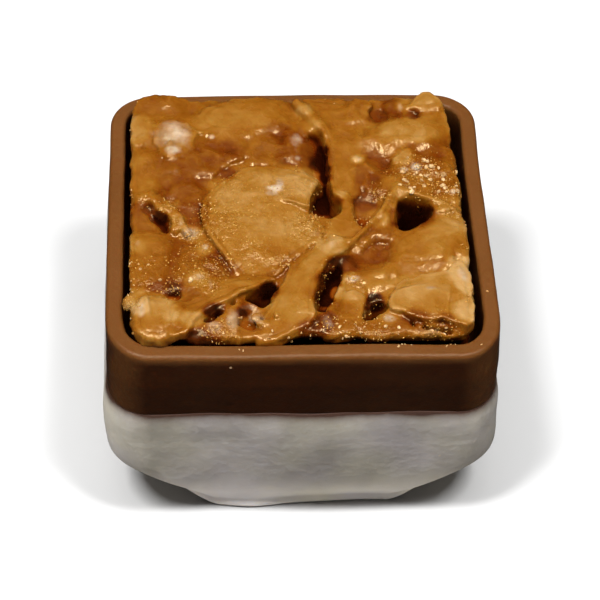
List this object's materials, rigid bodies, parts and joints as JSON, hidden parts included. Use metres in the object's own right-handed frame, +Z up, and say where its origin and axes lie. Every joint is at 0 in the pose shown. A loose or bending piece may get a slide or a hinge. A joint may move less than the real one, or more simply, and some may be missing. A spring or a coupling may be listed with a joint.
{
  "type": "chocolate bonbon",
  "caption": "Square praline: a milk chocolate tray dipped in white chocolate and topped with a slab of caramelised almond flakes.",
  "frame": {"origin": "middle of the bonbon's outline in plan, on the surface it stands on", "axes": "+Z up out of the tray, +X to the right and +Y to the back as the square front side is faced"},
  "size_m": [0.028, 0.028, 0.0189],
  "materials": {
    "white_chocolate": "satin, hand-dipped",
    "milk_chocolate": "satin",
    "caramel": "gloss, sticky",
    "almond": "gloss, glazed"
  },
  "bodies": {
    "root": {"white_dip_base": "white_chocolate", "milk_tray": "milk_chocolate", "caramel_slab": "caramel", "flake_heart": "almond", "flake_curl": "almond", "flake_slope": "almond", "flake_tongue": "almond", "flake_arch_left": "almond", "flake_arch_right": "almond", "flake_right": "almond", "flake_front_right": "almond", "flake_front_left": "almond", "flake_left": "almond", "flake_low_left": "almond", "flake_crystal": "almond", "flake_back_left": "almond", "flake_pale": "almond", "flake_back_right": "almond", "flake_corner": "almond"}
  },
  "joints": []
}
